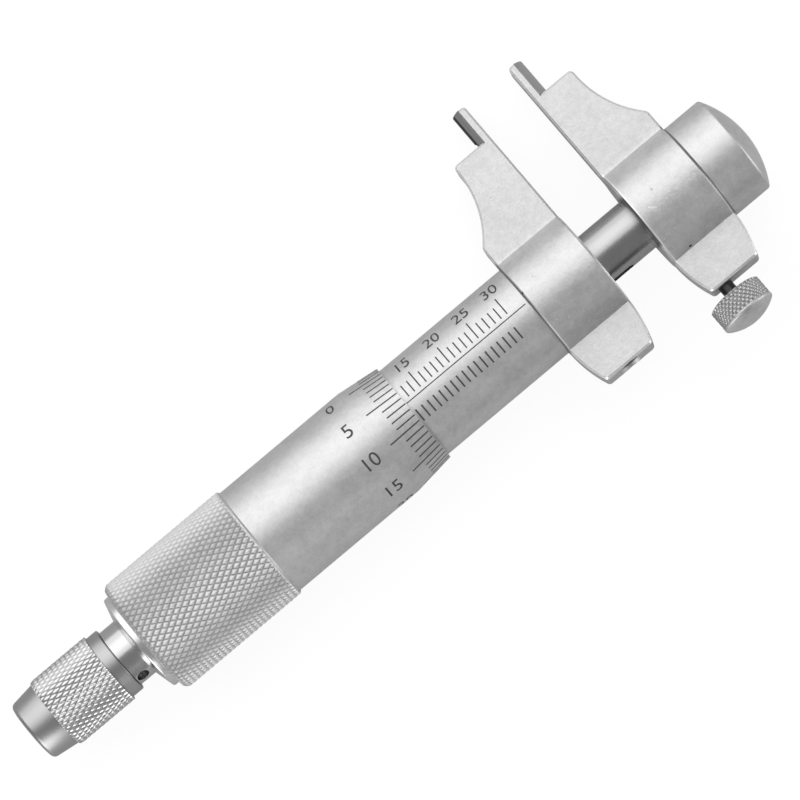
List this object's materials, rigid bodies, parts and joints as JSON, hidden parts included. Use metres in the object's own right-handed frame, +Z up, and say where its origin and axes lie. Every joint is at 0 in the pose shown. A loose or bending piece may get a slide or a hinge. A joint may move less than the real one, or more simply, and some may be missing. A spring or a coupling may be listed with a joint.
{
  "type": "inside micrometer",
  "caption": "Caliper-type inside micrometer with two small jaws, a graduated sleeve, a knurled thimble, a ratchet stop, a lock screw and a domed end cap.",
  "frame": {"origin": "middle of the footprint's bounding box, on the surface that the micrometer lies on", "axes": "+X along the spindle's axis towards the domed cap, +Y the way the jaws point, +Z up"},
  "size_m": [0.1246, 0.0474, 0.0177],
  "materials": {
    "satin_chrome": "satin chrome plate, slightly blasted, with bright edges",
    "polished_steel": "ground and polished steel",
    "steel": "plain turned steel, lightly oiled",
    "spring_steel": "drawn spring wire",
    "black_steel": "blackened steel",
    "carbide": "dark grey hard metal, ground",
    "brass": "plain turned brass"
  },
  "bodies": {
    "frame_body": {"near_jaw_block": "satin_chrome", "near_measuring_tip": "carbide", "sleeve": "satin_chrome", "inner_sleeve": "steel", "adjusting_nut": "steel", "guide_key_screw": "black_steel"},
    "carriage": {"far_jaw_block": "satin_chrome", "far_measuring_tip": "carbide", "guide_tube": "polished_steel", "end_cap": "satin_chrome"},
    "thimble_body": {"spindle": "polished_steel", "thrust_washer": "steel", "spindle_nut": "steel", "thimble": "satin_chrome", "ratchet_stem": "polished_steel", "ratchet_screw": "black_steel"},
    "ratchet_body": {"ratchet_knob": "satin_chrome", "ratchet_spring": "spring_steel"},
    "click_body": {"click_ring": "steel"},
    "pad_body": {"lock_pad": "brass"},
    "lock_body": {"lock_screw": "satin_chrome"}
  },
  "joints": [
    {"name": "jaw_slide", "type": "slide", "parent": "frame_body", "child": "carriage", "axis": [1, 0, 0], "range_m": [-0.00707, 0.01793]},
    {"name": "thimble_turn", "type": "hinge", "parent": "carriage", "child": "thimble_body", "pos_m": [0, -0.00363, 0.00883], "axis": [-1, 0, 0], "range_deg": [-5090.5, 12909.7]},
    {"name": "ratchet_turn", "type": "hinge", "parent": "thimble_body", "child": "ratchet_body", "pos_m": [0, -0.00363, 0.00883], "axis": [-1, 0, 0], "continuous": true},
    {"name": "click_lift", "type": "slide", "parent": "ratchet_body", "child": "click_body", "axis": [-1, 0, 0], "range_m": [0, 0.00055], "stiffness_N_per_m": 200, "springref_m": -0.001, "deforming": ["ratchet_spring"]},
    {"name": "lock_feed", "type": "slide", "parent": "carriage", "child": "pad_body", "axis": [0, 0.9763, -0.2164], "range_m": [-0.0008, 0.00013]},
    {"name": "lock_turn", "type": "hinge", "parent": "pad_body", "child": "lock_body", "pos_m": [0.047, -0.00363, 0.00883], "axis": [0, 0.9763, -0.2164], "range_deg": [-720.1, 117.1]}
  ],
  "couplings": [
    {"joint": "thimble_turn", "follows": "jaw_slide", "rad_per_m": 12566},
    {"joint": "lock_turn", "follows": "lock_feed", "rad_per_m": 15708}
  ]
}
